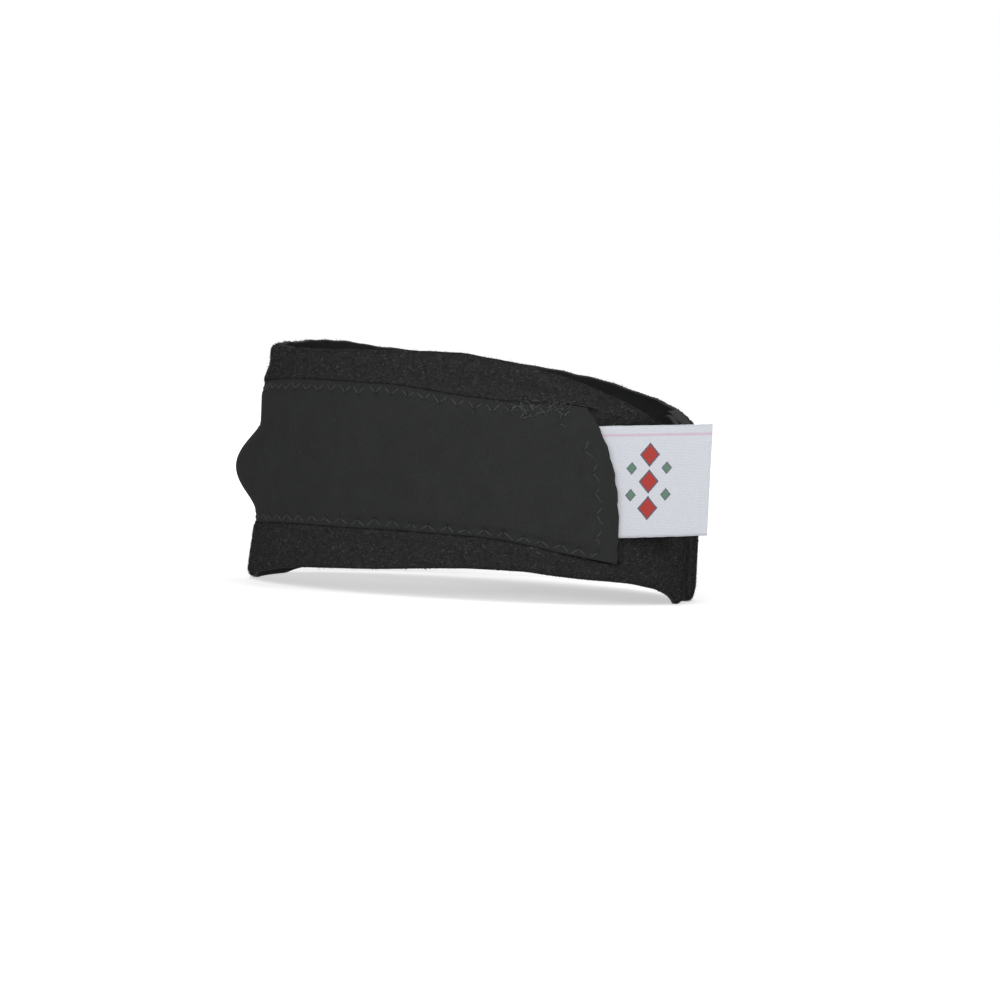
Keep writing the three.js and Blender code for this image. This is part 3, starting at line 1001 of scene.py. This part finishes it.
def label_face(side):
    thin = 1 - edge_thinning * np.abs(label_rows * 2) ** thinning_power
    spots = strip[:, None] + strip_out[:, None] * side * ply / 2 * thin[:, None]
    return np.concatenate([spots + (0, row_shift), heights[..., None]], -1) / 1000


label_points = np.concatenate([label_face(1), label_face(-1)[:, ::-1]], 1)
label_uv = np.stack([
    np.repeat(flat_travel[:, None], 2 * half_rows, 1),
    np.tile(np.concatenate([label_rows, label_rows[::-1]]) * label_height, (len(strip), 1)),
], -1)
label = add_mesh("flag_label", label_points, ring_faces(*label_points.shape[:2]), label_uv)
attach(label, "root")
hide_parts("label")

# %% [markdown]
# ## The label's weave
# A damask label is a close satin with its pattern woven in. The pattern is drawn by
# arithmetic on the label's own flat place, so no picture is needed.

# %% Label finish
woven, woven_shader = new_finish("woven_label", 0.75, 0.25, sheen=0.1)
flat = add_node(woven, "ShaderNodeUVMap", uv_map="flat_cloth").outputs["UV"]
split = add_node(woven, "ShaderNodeSeparateXYZ", {"Vector": flat})
label_x = sums(woven, "MULTIPLY", split.outputs["X"], 1000)
label_y = sums(woven, "MULTIPLY", split.outputs["Y"], 1000)


def lozenge(x, y, reach_x, reach_y):
    away_x = sums(woven, "ABSOLUTE", sums(woven, "SUBTRACT", label_x, x), 0)
    away_y = sums(woven, "ABSOLUTE", sums(woven, "SUBTRACT", label_y, y), 0)
    down = sums(woven, "MULTIPLY", away_y, 1 / reach_y)
    return sums(woven, "MULTIPLY_ADD", away_x, 1 / reach_x, down)


def blend_in(under, over, amount):
    blend = add_node(
        woven, "ShaderNodeMix", {"Factor": amount, "A": under, "B": over}, data_type="RGBA"
    )
    return blend.outputs["Result"]


print("nodes of the weave so far", len(woven.node_tree.nodes))

# %% [markdown]
# ## The label's pattern
# The pattern is a plain one: a column of three red lozenges with dark outlines, and four
# small green ones beside them. Their edges are frayed by the satin, as woven shapes are. A
# faint stripe runs near the top, as a woven border does.

# %% Draw the pattern of the label
satin_grain, pick_spacing, fray = 0.35, 0.42, 0.12
outline_reach, filling_reach, outline_colour = 1.06, 0.86, (0.06, 0.047, 0.065, 1)
red, green, pattern_middle = (0.22, 0.014, 0.010), (0.058, 0.115, 0.083), 22.0
stripe_height, stripe_half, stripe_colour = 12.9, 0.35, (0.34, 0.27, 0.32, 1)
satin = speckle(woven, satin_grain, 2)
picks = sums(woven, "SINE", sums(woven, "MULTIPLY", label_y, 2 * math.pi / pick_spacing), 0)
weave = sums(woven, "MULTIPLY_ADD", picks, 0.10, sums(woven, "MULTIPLY_ADD", satin, 0.5, 0.25))
ground = shades(woven, weave, [(0.3, (0.302, 0.312, 0.338)), (0.7, (0.382, 0.392, 0.42))])
colour = ground
for shape_x, shape_y, reach_x, reach_y, tint in (
    (0, 7.4, 3.0, 3.4, red),
    (0, 0, 3.0, 3.4, red),
    (0, -7.4, 3.0, 3.4, red),
    (-5.2, 3.7, 1.6, 1.8, green),
    (-5.2, -3.7, 1.6, 1.8, green),
    (5.2, 3.7, 1.6, 1.8, green),
    (5.2, -3.7, 1.6, 1.8, green),
):
    shape = lozenge(pattern_middle + shape_x, shape_y, reach_x, reach_y)
    frayed = sums(woven, "MULTIPLY_ADD", satin, fray, shape)
    outline = sums(woven, "LESS_THAN", frayed, outline_reach, 0)
    filling = sums(woven, "LESS_THAN", frayed, filling_reach, 0)
    colour = blend_in(colour, outline_colour, outline)
    colour = blend_in(colour, (*tint, 1), filling)
from_stripe = sums(woven, "ABSOLUTE", sums(woven, "SUBTRACT", label_y, stripe_height), 0)
stripe = sums(woven, "LESS_THAN", from_stripe, stripe_half, 0)
colour = blend_in(colour, stripe_colour, stripe)
set_colour(woven, woven_shader, colour)
set_bump(woven, woven_shader, weave, 0.06)
label.data.materials.append(woven)

# %% [markdown]
# ## The hook tape
# The outer end holds on to the inner one with a patch of hook tape. Only its edges can be
# seen in the lap, but the hooks are what makes it hook tape, so there are rows of them.

# %% Build the hook tape
backing, hook_gap, hook_radius, hook_rise, hook_curl = 0.42, 1.7, 0.09, 0.44, 0.62
hook_lean, tape_middle_turn, tape_height, hook_points, hook_sides = 0.014, 203, 44, 6, 4
hook_turns = np.linspace(hook_start_turn, hook_end_turn, 24)
hook_shares = np.linspace(0, 1, 40)


def hook_spot(turn, share, depth):
    low, high = band_bottom(turn) + hook_margin, band_top(turn) - hook_margin
    height = low + (high - low) * share
    out = band_face(turn - 360, height) - band_wall - clearance - depth
    return place(turn, height, out)


tape_front = hook_spot(hook_turns[:, None], hook_shares[None, :], 0)
tape_back = hook_spot(hook_turns[:, None], hook_shares[None, ::-1], backing)
tape_rings = np.concatenate([tape_front, tape_back], 1)
hook_parts = [tape_rings]
up_hook = np.linspace(0, 1, hook_points)
hook_step = hook_gap * float(turn_per_mm(tape_middle_turn))
for turn in np.arange(hook_start_turn + 0.8, hook_end_turn - 0.6, hook_step):
    for share in np.arange(0.03, 0.98, hook_gap / tape_height):
        depth = backing + hook_rise * np.sin(up_hook * np.pi * hook_curl)
        path = hook_spot(turn, share + hook_lean * up_hook**2, depth)
        hook_parts.append(tube(path, np.full(hook_points, hook_radius / 1000), hook_sides))
hook_tape = join_tubes("hook_tape", hook_parts)
print("hooks", len(hook_parts) - 1)

# %% [markdown]
# ## The hooks' finish
# Hooks are moulded in nylon, so they shine more than anything else on the strap. They are
# hardly seen, so one grain in two dark shades and a slight relief are enough.

# %% Hook finish
hooks, hooks_shader = new_finish("moulded_hooks", 0.45, 0.5)
hooks_colour = shades(hooks, speckle(hooks, 0.8), [
    (0.3, (0.010, 0.010, 0.011)),
    (0.7, (0.020, 0.020, 0.021)),
])
set_colour(hooks, hooks_shader, hooks_colour)
set_bump(hooks, hooks_shader, speckle(hooks, 0.3), 0.03)
hook_tape.data.materials.append(hooks)
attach(hook_tape, "root")
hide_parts("hook_patch")

# %% [markdown]
# ## The pile
# Plush has a soft outline because its fibres stand out from it. Blender's hair would do it,
# but one thin triangle for each fibre is enough at this size, and it keeps the piece light
# and the same on each run. Fibres grow where the plush is bare, more of them at the rims.

# %% Helpers for fibres
hidden_turn, end_clear, edge_clear, floor_clear = 181, 0.6, 0.004, 0.00005


def bare(turn, height):
    share = (height - cover_bottom(turn)) / (cover_top(turn) - cover_bottom(turn))
    past_end = np.abs(turn) > cover_end(share) + end_clear
    outside_cover = (share < -edge_clear) | (share > 1 + edge_clear) | past_end
    return outside_cover & (turn <= hidden_turn)


def grow(turn, height, out, reach, lean, around, width):
    tangent = plan_tangent(turn)
    level = np.zeros(len(turn))
    ahead = np.stack([tangent[:, 0], tangent[:, 1], level], 1)
    normal = np.stack([tangent[:, 1], -tangent[:, 0], level], 1)
    above = np.array([0, 0, 1])
    flat_way = ahead * np.cos(around)[:, None] + above * np.sin(around)[:, None]
    base = place(turn, height, out)
    way = normal * np.cos(lean)[:, None] + flat_way * np.sin(lean)[:, None]
    across = np.cross(way, dice.normal(0, 1, way.shape))
    across /= np.linalg.norm(across, axis=1, keepdims=True)
    half = across * (width / 2000)
    return np.stack([base - half, base + half, base + way * (reach / 1000)[:, None]], 1)


def plush_face(turn, height):
    edge = np.minimum(height - band_bottom(turn), band_top(turn) - height)
    return band_face(turn, height) - drawn_in(np.clip(edge, 0, rim_rounding), rim_rounding)


def scatter(count, dice):
    start, stop = float(length_at(outer_end_turn)) + 1, float(length_at(hidden_turn))
    turn = turn_at(dice.uniform(start, stop, count))
    low, high = band_bottom(turn) + 0.5, band_top(turn) - 0.5
    return turn, low + (high - low) * dice.uniform(0, 1, count)


print("bare at the front, 2 mm up:", bool(bare(0.0, float(band_bottom(0)) + 2)))

# %% [markdown]
# ## Fibres
# The face of the plush gets a close pile that leans every way. Lengths are drawn from a
# gamma spread, so most fibres are short and a few are long, as in worn plush.

# %% Grow the pile
fibre_count, fibre_width, fibre_seat = 210000, 0.13, 0.05
turn, height = scatter(fibre_count, dice)
kept = bare(turn, height)
turn, height = turn[kept], height[kept]
lean = np.radians(dice.uniform(35, 82, len(turn)))
reach = dice.gamma(6, 0.10, len(turn))
around = dice.uniform(0, 2 * np.pi, len(turn))
out = plush_face(turn, height) - fibre_seat
pile_face = grow(turn, height, out, reach, lean, around, fibre_width)
print("fibres on the face", len(pile_face))

# %% [markdown]
# ## Rim tufts
# The soft outline of plush is made at its rims, where fibres stand free. They come in
# tufts, so a slow ripple along the rim makes some of them longer than others.

# %% Grow the rim tufts
rim_count, upper_share, tuft_waves, tuft_seed, tuft_gain = 9000, 0.6, (3.1, 4.7, 9.3), 31, 1.6
start, stop = float(length_at(outer_end_turn)) + 3, float(length_at(hidden_turn))
length = dice.uniform(start, stop, rim_count)
turn = turn_at(length)
upper = dice.uniform(0, 1, rim_count) < upper_share
down = np.abs(dice.normal(0, 0.5, rim_count))
waver = ripple(length, rim_waver, rim_waves, rim_seed)
height = np.where(upper, band_top(turn) + waver - down, band_bottom(turn) + down)
drawn = drawn_in(np.minimum(down, rim_rounding), rim_rounding)
out = band_face(turn, height) - drawn - fibre_seat
lean = np.radians(dice.uniform(15, 80, rim_count))
around = dice.uniform(0, 2 * np.pi, rim_count)
tufts = np.maximum(ripple(length, 1, tuft_waves, tuft_seed), 0)
reach = dice.gamma(5, 0.085, rim_count) * (1 + tuft_gain * tufts**2)
rim_fibres = grow(turn, height, out, reach, lean, around, fibre_width)
away = np.where(upper, 1, -1)[:, None] * np.array([0, 0, 1])
rim_fibres[:, 2] += away * dice.uniform(0, 0.0002, rim_count)[:, None]
print("longest tuft in mm", round(float(reach.max()), 1))

# %% [markdown]
# ## Fibres beside the cover
# Where the cover is sewn down, the plush beside it leans over its edge and hides most of
# the step. Without these fibres a hard dark line would show there.

# %% Grow the fibres beside the cover
edge_count, edge_seat = 9000, 0.03
turn = turn_at(dice.uniform(-1, 1, edge_count) * length_at(cover_end_turn - cover_end_slant))
above = dice.uniform(0, 1, edge_count) < 0.5
past = dice.uniform(0.16, 0.5, edge_count)
height = np.where(above, cover_top(turn) + past, cover_bottom(turn) - past)
lean = np.radians(dice.uniform(55, 88, edge_count))
around = np.where(above, -1, 1) * np.pi / 2 + dice.normal(0, 0.6, edge_count)
out = band_face(turn, height) - edge_seat
reach = dice.gamma(9, 0.07, edge_count)
edge_fibres = grow(turn, height, out, reach, lean, around, fibre_width)

fibres = np.concatenate([pile_face, rim_fibres, edge_fibres])
fibres[..., 2] = np.maximum(fibres[..., 2], floor_clear)
pile = add_mesh("band_pile", fibres, np.arange(len(fibres) * 3).reshape(-1, 3).tolist())
pile.data.polygons.foreach_set("use_smooth", np.zeros(len(fibres), bool))
print("fibres in all", len(fibres))

# %% [markdown]
# ## Longer strands
# Some yarn of the plush is brushed out into short strands that lie along the face. Each is
# a narrow bent strip, and they give the plush its coarser grain.

# %% Lay longer strands on the pile
strand_tries, strand_points_each, strand_lift, strand_arch = 27000, 5, 0.12, 0.16
strand_spread, strand_bend, strand_twist = 0.55, 1.1, 0.2


def strand(turn, height, reach, width, dice):
    steps = np.linspace(0, 1, strand_points_each)
    heading = dice.normal(0, strand_spread) + (np.pi if dice.uniform() < 0.5 else 0)
    angle = heading + dice.normal(0, strand_bend) * steps
    along = np.cumsum(np.cos(angle)) / strand_points_each * reach
    rise = np.cumsum(np.sin(angle)) / strand_points_each * reach
    turns, heights = turn + along * turn_per_mm(turn), height + rise
    lift = strand_lift + strand_arch * np.sin(np.pi * steps)
    path = place(turns, heights, plush_face(turns, heights) + lift)
    side = np.array([0, 0, width / 2000]) * np.sin(np.pi * (0.12 + 0.76 * steps))[:, None]
    side += dice.normal(0, strand_twist, 3) * width / 2000
    return np.stack([path - side, path + side], 1)


strands = []
for turn, height in zip(*scatter(strand_tries, dice)):
    if bare(turn, height):
        reach, width = dice.gamma(5, 0.17), dice.uniform(0.14, 0.28)
        strands.append(strand(turn, height, reach, width, dice))
strand_points = np.array(strands)
strand_points[..., 2] = np.maximum(strand_points[..., 2], floor_clear)
spots = np.arange(strand_points.size // 3).reshape(len(strands), strand_points_each, 2)
strips = np.stack([spots[:, :-1, 0], spots[:, :-1, 1], spots[:, 1:, 1], spots[:, 1:, 0]], -1)
longer_strands = add_mesh("plush_strands", strand_points, strips.reshape(-1, 4).tolist())
strand_finish, strand_shader = new_finish("plush_strand", 0.85, 0.1)
strand_colour = shades(strand_finish, speckle(strand_finish, 1.4, 2), [
    (0.34, (0.018, 0.0185, 0.0182)),
    (0.66, (0.036, 0.037, 0.0368)),
])
set_colour(strand_finish, strand_shader, strand_colour)
longer_strands.data.materials.append(strand_finish)
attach(longer_strands, "root")
print("longer strands", len(strands))

# %% [markdown]
# ## The pile's finish
# Fibres are rough and nearly black. The plush isn't even: it has darker and lighter patches
# a few fibres wide, so the shade follows three steps of a grain.

# %% Pile finish
pile_finish, pile_shader = new_finish("pile_fibre", 0.95, 0.05)
pile_colour = shades(pile_finish, speckle(pile_finish, 0.7, 4), [
    (0.34, (0.0098, 0.0101, 0.0099)),
    (0.52, (0.0166, 0.0170, 0.0168)),
    (0.68, (0.0250, 0.0257, 0.0253)),
])
set_colour(pile_finish, pile_shader, pile_colour)
pile.data.materials.append(pile_finish)
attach(pile, "root")

# %% [markdown]
# ## Lint
# A used strap picks up lint, and hooks tease fibres out of it, most of them where the cover
# ends. A few hundred fine curls, lighter than the cloth, are made as thin tubes, because
# curves would have to be turned into meshes for the export anyway.

# %% Scatter the lint
curl_points, curl_bend, curl_lift, curl_arch = 7, 1.6, 0.10, 0.28
fine_curl, coarse_curl, curl_sides = 0.035, (0.04, 0.11), 3
plush_tries, rim_clear, cover_curls, cover_reach = 620, 2.5, 40, 120
teased_count, teased_turn, teased_spread, teased_stop = 110, 119, (5.5, 1.5), 130


def curl(turn, height, face, reach, dice):
    steps = np.linspace(0, 1, curl_points)
    heading = dice.uniform(0, 2 * np.pi)
    angle = heading + dice.normal(0, curl_bend) * steps
    along = np.cumsum(np.cos(angle)) / curl_points * reach
    rise = np.cumsum(np.sin(angle)) / curl_points * reach
    turns, heights = turn + along * turn_per_mm(turn), height + rise
    lift = curl_lift + curl_arch * np.sin(np.pi * steps) * dice.uniform(0.2, 1)
    return place(turns, heights, face(turns, heights) + lift)


def curl_tube(path, radius):
    return tube(path, np.full(curl_points, radius / 1000), curl_sides)


lint_curls = []
for turn, height in zip(*scatter(plush_tries, dice)):
    from_rims = min(height - band_bottom(turn), band_top(turn) - height)
    if bare(turn, height) and from_rims > rim_clear:
        path = curl(turn, height, plush_face, dice.gamma(4, 0.32), dice)
        lint_curls.append(curl_tube(path, fine_curl))
for _ in range(teased_count):
    turn = dice.normal(teased_turn, teased_spread[0])
    height = float(cover_top(turn)) - 1.2 + dice.normal(0, teased_spread[1])
    if turn < teased_stop:
        face = cover_height_at if height < cover_top(turn) - 0.3 else plush_face
        path = curl(turn, height, face, dice.gamma(2.5, 0.5), dice)
        lint_curls.append(curl_tube(path, dice.uniform(*coarse_curl)))
for _ in range(cover_curls):
    turn, share = dice.uniform(-cover_reach, cover_reach), dice.uniform(0.1, 0.9)
    height = float(cover_bottom(turn) + share * (cover_top(turn) - cover_bottom(turn)))
    path = curl(turn, height, cover_height_at, dice.gamma(3, 0.25), dice)
    lint_curls.append(curl_tube(path, fine_curl))
lint = join_tubes("lint", lint_curls)
print("curls of lint", len(lint_curls))

# %% [markdown]
# ## The lint's finish
# Lint is lighter than the cloth, which is why so few curls are enough to be seen. It needs
# no relief, because each curl is finer than a grain of it would be.

# %% Lint finish
lint_finish, lint_shader = new_finish("lint", 0.8, 0.2)
lint_colour = shades(lint_finish, speckle(lint_finish, 2.0), [
    (0.35, (0.032, 0.034, 0.033)),
    (0.65, (0.075, 0.079, 0.077)),
])
set_colour(lint_finish, lint_shader, lint_colour)
lint.data.materials.append(lint_finish)
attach(lint, "root")

# %% [markdown]
# ## The floor
# The photo has a plain white ground. A pale floor takes the shadow of the strap, and it
# glows more and more with distance, so that it runs into the white behind it.

# %% Build the floor
floor_reach = 6.0
floor_mesh = bpy.data.meshes.new("floor")
floor_corners = [
    (floor_reach * x, floor_reach * y, 0) for x, y in ((-1, -1), (1, -1), (1, 1), (-1, 1))
]
floor_mesh.from_pydata(floor_corners, [], [(0, 1, 2, 3)])
floor = bpy.data.objects.new("floor", floor_mesh)
bpy.context.scene.collection.objects.link(floor)
floor_finish, floor_shader = new_finish("pale_floor", 0.9, 0.1)
floor_shader.inputs["Base Color"].default_value = (0.62, 0.62, 0.62, 1)
floor_shader.inputs["Emission Color"].default_value = (1, 1, 1, 1)
floor_spots = add_node(floor_finish, "ShaderNodeTexCoord")
floor_away = add_node(
    floor_finish, "ShaderNodeVectorMath", {0: floor_spots.outputs["Object"]}, operation="LENGTH"
)
floor_glow = add_node(floor_finish, "ShaderNodeMapRange", {
    "Value": floor_away.outputs["Value"], "From Min": 0.25, "From Max": 1.6,
    "To Min": 0.5, "To Max": 1.0,
})
glow_socket = floor_shader.inputs["Emission Strength"]
floor_finish.node_tree.links.new(floor_glow.outputs["Result"], glow_socket)
floor_mesh.materials.append(floor_finish)
print("floor in metres across", 2 * floor_reach)

# %% [markdown]
# ## The light
# The photo has soft light from every side. One large lamp stands by the camera, one to its
# right and a weaker one behind the strap, and a dim world fills the rest. The camera still
# sees the world as white.

# %% Light the scene
sky_light, lamp_size, lamp_distance = 0.25, 0.8, 1.4
world = bpy.data.worlds.new("white_ground")
world.use_nodes = True
sky = world.node_tree.nodes["Background"]
seen = world.node_tree.nodes.new("ShaderNodeLightPath")
strength = world.node_tree.nodes.new("ShaderNodeMapRange")
strength.inputs["To Min"].default_value = sky_light
strength.inputs["To Max"].default_value = 1.0
sky.inputs["Color"].default_value = (1, 1, 1, 1)
world.node_tree.links.new(seen.outputs["Is Camera Ray"], strength.inputs["Value"])
world.node_tree.links.new(strength.outputs["Result"], sky.inputs["Strength"])
bpy.context.scene.world = world
bpy.context.scene.view_settings.view_transform = "Standard"

for name, side, rise, power in (
    ("main_lamp", 84, 27, 19),
    ("back_lamp", 165, 28, 13),
    ("far_lamp", 285, 35, 9),
):
    lamp_data = bpy.data.lights.new(name, "AREA")
    lamp_data.shape = "SQUARE"
    lamp_data.size = lamp_size
    lamp_data.energy = power
    lamp = bpy.data.objects.new(name, lamp_data)
    side, rise = math.radians(side), math.radians(rise)
    lamp.location = lamp_distance * Vector((
        math.sin(side) * math.cos(rise), -math.cos(side) * math.cos(rise), math.sin(rise),
    ))
    lamp.rotation_mode = "QUATERNION"
    lamp.rotation_quaternion = (-lamp.location).to_track_quat("-Z", "Y")
    bpy.context.scene.collection.objects.link(lamp)
    print(name, [round(c, 2) for c in lamp.location])

# %% [markdown]
# ## Last update
# The view layer is updated once more, so that every piece stands where it was put. The
# dressed strap has to stay inside the imported model's box, apart from what fabric may
# stand proud.

# %% Update the view layer
bpy.context.view_layer.update()
